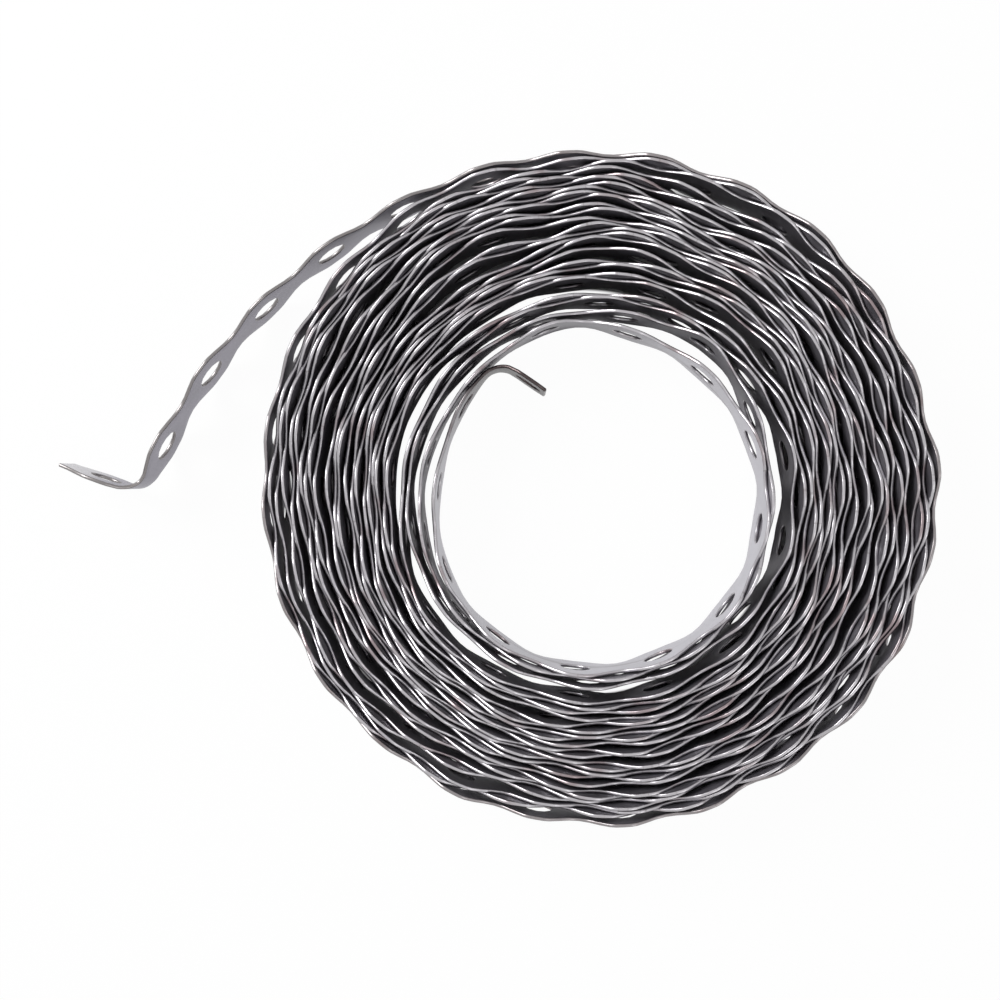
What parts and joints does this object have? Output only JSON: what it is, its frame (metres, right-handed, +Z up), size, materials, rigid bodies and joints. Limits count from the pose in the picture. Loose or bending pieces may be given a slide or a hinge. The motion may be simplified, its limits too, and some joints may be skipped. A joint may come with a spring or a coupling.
{
  "type": "roll of perforated steel strap",
  "caption": "Coiled roll of wave-edged perforated steel fixing strap, lying flat, with a loose outer end and a hooked inner end.",
  "frame": {"origin": "on the floor, under the middle of the box round the roll and its loose outer end", "axes": "+Z up along the roll's axis, +X along the part's longest side, with the loose end towards -X"},
  "size_m": [0.194, 0.149, 0.017],
  "materials": {
    "steel": "bare zinc-grey strip with a satin face and bright sheared edges"
  },
  "bodies": {
    "root": {"strap": "steel"}
  },
  "joints": []
}
